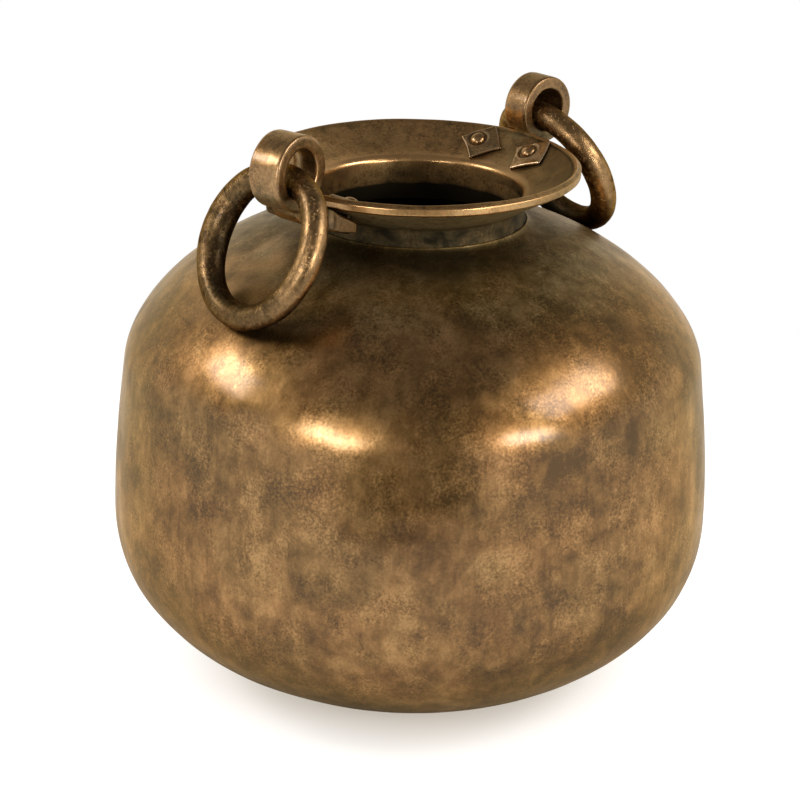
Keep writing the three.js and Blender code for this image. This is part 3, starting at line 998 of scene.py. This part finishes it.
# Ring: a forged bar closed to a circle, never quite even, laid where the part's ring hangs
def make_ring(side, place):
    node = frame["nodes"][side + "_ring"]
    hinge = next(j for j in frame["joints"] if j["child"] == side + "_handle")
    centre = np.mean([v.co for v in node.data.vertices], axis=0) / MM
    pivot = np.array(hinge["pos_m"]) / MM
    down = unit(centre - pivot)
    across = -unit(np.array(hinge["axis"]))
    square = np.cross(down, across)
    ring_radius = np.linalg.norm(centre - pivot)
    seed = 60 if side == "left" else 70
    around = np.linspace(0, 2 * math.pi, RING_STEPS, endpoint=False)
    section = np.linspace(0, 2 * math.pi, RING_SIDES, endpoint=False)
    step = np.repeat(np.arange(RING_STEPS), RING_SIDES)
    turned = np.tile(section, RING_STEPS)

    # The bar's middle sags at the eye and swells on one side
    outward = (np.cos(around)[:, None] * down + np.sin(around)[:, None] * across)[step]
    from_eye = np.abs(around - math.pi) * ring_radius
    sag = place["sag"] * (1 - smooth(from_eye, 10, 42))
    spread, thicker, wider = place["swell"]
    swell = near(np.remainder(np.degrees(around) + 275, 360) - 180, 0, spread)
    bar_radius = (ring_radius - sag + wider * swell)[step]
    core = pivot + ring_radius * down + bar_radius[:, None] * outward
    skin = np.cos(turned)[:, None] * outward + np.sin(turned)[:, None] * square
    bare = core + BAR_RADIUS * skin
    size = BAR_RADIUS - 0.1 + (thicker * swell)[step]
    size += 0.22 * wander(core, 26, seed) + 0.14 * wander(bare, 7, seed + 1)
    points = core + size[:, None] * skin

    # Rubbed bright outside and dirty inside; painted shade in the eye, low down and where it
    # lies against the pot
    outer_side = np.cos(turned)
    against_pot = unit(bare - core) @ np.array((-0.6 * np.sign(centre[0]), 0, -0.8))
    ring_contact_shade = smooth(against_pot, -0.1, 0.7) * smooth(np.cos(around), 0.0, 0.7)[step]
    # Lower part of the ring: painted shade, with less wear
    low = smooth(np.cos(around), 0.45, 0.9)[step]
    in_eye = smooth(np.linalg.norm(core - pivot, axis=1), 30, 12)
    rubbed = 0.3 * wander(bare, 9, seed + 2) + 0.35 * wander(bare, 4, seed + 3)
    wear = np.clip(0.2 + 0.3 * outer_side + rubbed, 0, 1)
    wear *= (1 - ring_contact_shade) * (1 - 0.4 * low)
    dirt_and_shade = 0.2 * in_eye + 0.3 * smooth(-outer_side, 0.3, 1.0) + 0.8 * ring_contact_shade + 0.3 * low
    marks = {"wear": wear, "dirt_and_shade": np.clip(dirt_and_shade, 0, 1)}
    faces = ring_faces(RING_STEPS, RING_SIDES, True)
    item = make_object(side + "_forged_ring", points, faces, bronze_ring, marks)
    return ride(item, side + "_handle", "ring", side + "_ring")


make_body()
make_rim()
for side, place in SIDES.items():
    make_lug(side, place)
    for number, azimuth in ((1, -RIVET_AZIMUTH), (2, RIVET_AZIMUTH)):
        put = rivet_frame(place["turn"], azimuth)
        make_rove(side, number, put)
        make_rivet(side, number, put)
    make_ring(side, place)


# The stage is laid out as the camera sees it: X to the right, Y away from it
TOWARDS = Matrix.Rotation(math.radians(-48.2), 3, "Z")
RIGHTWARD = TOWARDS @ Vector((1, 0, 0))
AWAY = TOWARDS @ Vector((0, 1, 0))
CAMERA_PLACE = (0, -1.51697, 0.79264)
CAMERA_PITCH = math.radians(21.535)
CAMERA_ROLL = math.radians(1.35)
PICTURE_PIXELS = 800
FOCAL_PIXELS = 2304.25
SHIFT_PIXELS = -12.04
SENSOR_WIDTH = 36
LAMP_COLOUR = (1, 0.96, 0.93)
LAMP_DISTANCE = 1.6
LAMP_TARGET = (0, 0, 0.25)
FLOOR_GLOW = 0.95
FLOOR_SHEEN = 0.66
FLOOR_DROP = -2e-4
CURTAIN = ((-0.9, -1.5, 0), (0.9, -1.5, 0), (0.9, -1.5, 1.7), (-0.9, -1.5, 1.7))
MAT = ((-0.8, -1.5, 0.001), (0.8, -1.5, 0.001), (0.8, -0.98, 0.001), (-0.8, -0.98, 0.001))


# Camera: looks down on the pot from the photograph's angle
def make_camera():
    forward = TOWARDS @ Vector((0, math.cos(CAMERA_PITCH), -math.sin(CAMERA_PITCH)))
    up = TOWARDS @ Vector((0, math.sin(CAMERA_PITCH), math.cos(CAMERA_PITCH)))
    x_axis = RIGHTWARD * math.cos(CAMERA_ROLL) + up * math.sin(CAMERA_ROLL)
    y_axis = up * math.cos(CAMERA_ROLL) - RIGHTWARD * math.sin(CAMERA_ROLL)
    stand = Matrix((x_axis, y_axis, -forward)).transposed().to_4x4()
    stand.translation = TOWARDS @ Vector(CAMERA_PLACE)
    data = bpy.data.cameras.new("camera")
    data.sensor_width = SENSOR_WIDTH
    data.lens = FOCAL_PIXELS / PICTURE_PIXELS * SENSOR_WIDTH
    data.shift_x = SHIFT_PIXELS / PICTURE_PIXELS
    item = add_object("camera", data)
    item.matrix_world = stand
    bpy.context.scene.camera = item


# Soft box in a direction from the pot, measured from the camera's side and from the floor
def soft_box(name, azimuth, elevation, width, height, watts, roll=0):
    a, e = math.radians(azimuth), math.radians(elevation)
    way = Vector((math.sin(a) * math.cos(e), -math.cos(a) * math.cos(e), math.sin(e)))
    way = TOWARDS @ way
    data = bpy.data.lights.new(name, "AREA")
    data.shape = "RECTANGLE"
    data.size = width
    data.size_y = height
    data.energy = watts
    data.color = LAMP_COLOUR
    item = add_object(name, data)
    item.location = Vector(LAMP_TARGET) + way * LAMP_DISTANCE
    aim = (-way).to_track_quat("-Z", "Y").to_matrix()
    aim = aim @ Matrix.Rotation(math.radians(roll), 3, "Z")
    item.rotation_euler = aim.to_euler()


# White sweep low down all round, a bright far wall, and dim towards the camera and overhead
def make_world():
    world = bpy.data.worlds.new("studio")
    bpy.context.scene.world = world
    world.use_nodes = True
    tree = world.node_tree
    tree.nodes.clear()
    way = make(tree, "ShaderNodeTexCoord").outputs["Generated"]
    height = make(tree, "ShaderNodeSeparateXYZ", {0: way}).outputs[2]
    depth = along_way(tree, way, AWAY)
    aside = above(tree, along_way(tree, way, RIGHTWARD), -0.5, 0.3)
    far = blend(tree, aside, (1, 0.97, 0.92, 1), (0.6, 0.58, 0.55, 1))
    room = blend(tree, above(tree, depth, -0.25, 0.95), (0.21, 0.2, 0.19, 1), far)
    room = blend(tree, above(tree, height, 0.5, 0.9), room, (0.18, 0.17, 0.16, 1))
    sky = blend(tree, above(tree, height, 0.04, 0.45), (1, 1, 1, 1), room)
    back = make(tree, "ShaderNodeBackground", {"Color": sky, "Strength": 1.0})
    make(tree, "ShaderNodeOutputWorld", {"Surface": back.outputs[0]})


# Flat stage piece with one material
def make_sheet(name, corners, material):
    mesh = bpy.data.meshes.new(name)
    mesh.from_pydata(corners, [], [(0, 1, 2, 3)])
    mesh.materials.append(material)
    item = add_object(name, mesh)
    return item


# Dim cloth on the camera's side, hung up or laid down, that the pot reflects
def make_cloth(name, colour, corners, fade):
    material, tree = new_material(name)
    place = make(tree, "ShaderNodeTexCoord").outputs["Object"]
    edge = above(tree, calc(tree, "ABSOLUTE", along_way(tree, place, RIGHTWARD)), *fade)
    cloth = make(tree, "ShaderNodeBsdfDiffuse", {"Color": (*colour, 1)})
    clear = make(tree, "ShaderNodeBsdfTransparent")
    values = {0: edge, 1: cloth.outputs[0], 2: clear.outputs[0]}
    mixed = make(tree, "ShaderNodeMixShader", values)
    make(tree, "ShaderNodeOutputMaterial", {"Surface": mixed.outputs[0]})
    item = make_sheet(name, [TOWARDS @ Vector(corner) for corner in corners], material)
    item.visible_camera = False


# Floor: white, with a painted warm shadow and less reflected sheen near the pot, fading into the
# white sweep
def make_floor():
    material, tree = new_material("white_floor")
    place = make(tree, "ShaderNodeTexCoord").outputs["Object"]
    span = make(tree, "ShaderNodeVectorMath", {0: place}, operation="LENGTH").outputs["Value"]
    seen = minus(tree, 1.0, above(tree, span, 0.4, 0.8))
    white = make(tree, "ShaderNodeBsdfDiffuse", {"Color": (0.45, 0.44, 0.42, 1)})
    path = make(tree, "ShaderNodeLightPath").outputs
    mirrored = plus(tree, path["Is Glossy Ray"], path["Is Transmission Ray"])
    mirrored = times(tree, mirrored, FLOOR_SHEEN)
    # Painted shade: the floor's sheen in reflections fades near the pot
    mirrored = times(tree, mirrored, above(tree, span, 0.02, 0.42))
    strength = plus(tree, times(tree, path["Is Camera Ray"], FLOOR_GLOW), mirrored)
    # Painted contact shadow: the glow is dimmer and warmer near the pot
    open_floor = above(tree, span, 0.08, 0.2)
    tint = blend(tree, open_floor, (0.4, 0.35, 0.28, 1), (1, 0.995, 0.985, 1))
    glow = make(tree, "ShaderNodeEmission", {"Color": tint, "Strength": strength})
    lit = make(tree, "ShaderNodeAddShader", {0: white.outputs[0], 1: glow.outputs[0]})
    clear = make(tree, "ShaderNodeBsdfTransparent")
    values = {0: seen, 1: clear.outputs[0], 2: lit.outputs[0]}
    mixed = make(tree, "ShaderNodeMixShader", values)
    make(tree, "ShaderNodeOutputMaterial", {"Surface": mixed.outputs[0]})
    corners = [(x, y, FLOOR_DROP) for x, y in ((-1, -1), (1, -1), (1, 1), (-1, 1))]
    make_sheet("floor", corners, material)


make_camera()
make_world()
make_cloth("curtain", (0.2, 0.185, 0.16), CURTAIN, (0.4, 0.9))
make_cloth("mat", (0.1, 0.09, 0.08), MAT, (0.3, 0.8))
make_floor()
soft_box("left_side", -84, 33, 0.6, 0.36, 8.2)
soft_box("left_front", -28, 15, 0.7, 0.3, 8.2, -40)
soft_box("right_side", 73, 34, 0.95, 0.42, 11.5)
soft_box("right_front", 42, 13, 0.45, 0.32, 8)
bpy.context.scene.view_settings.view_transform = "Standard"
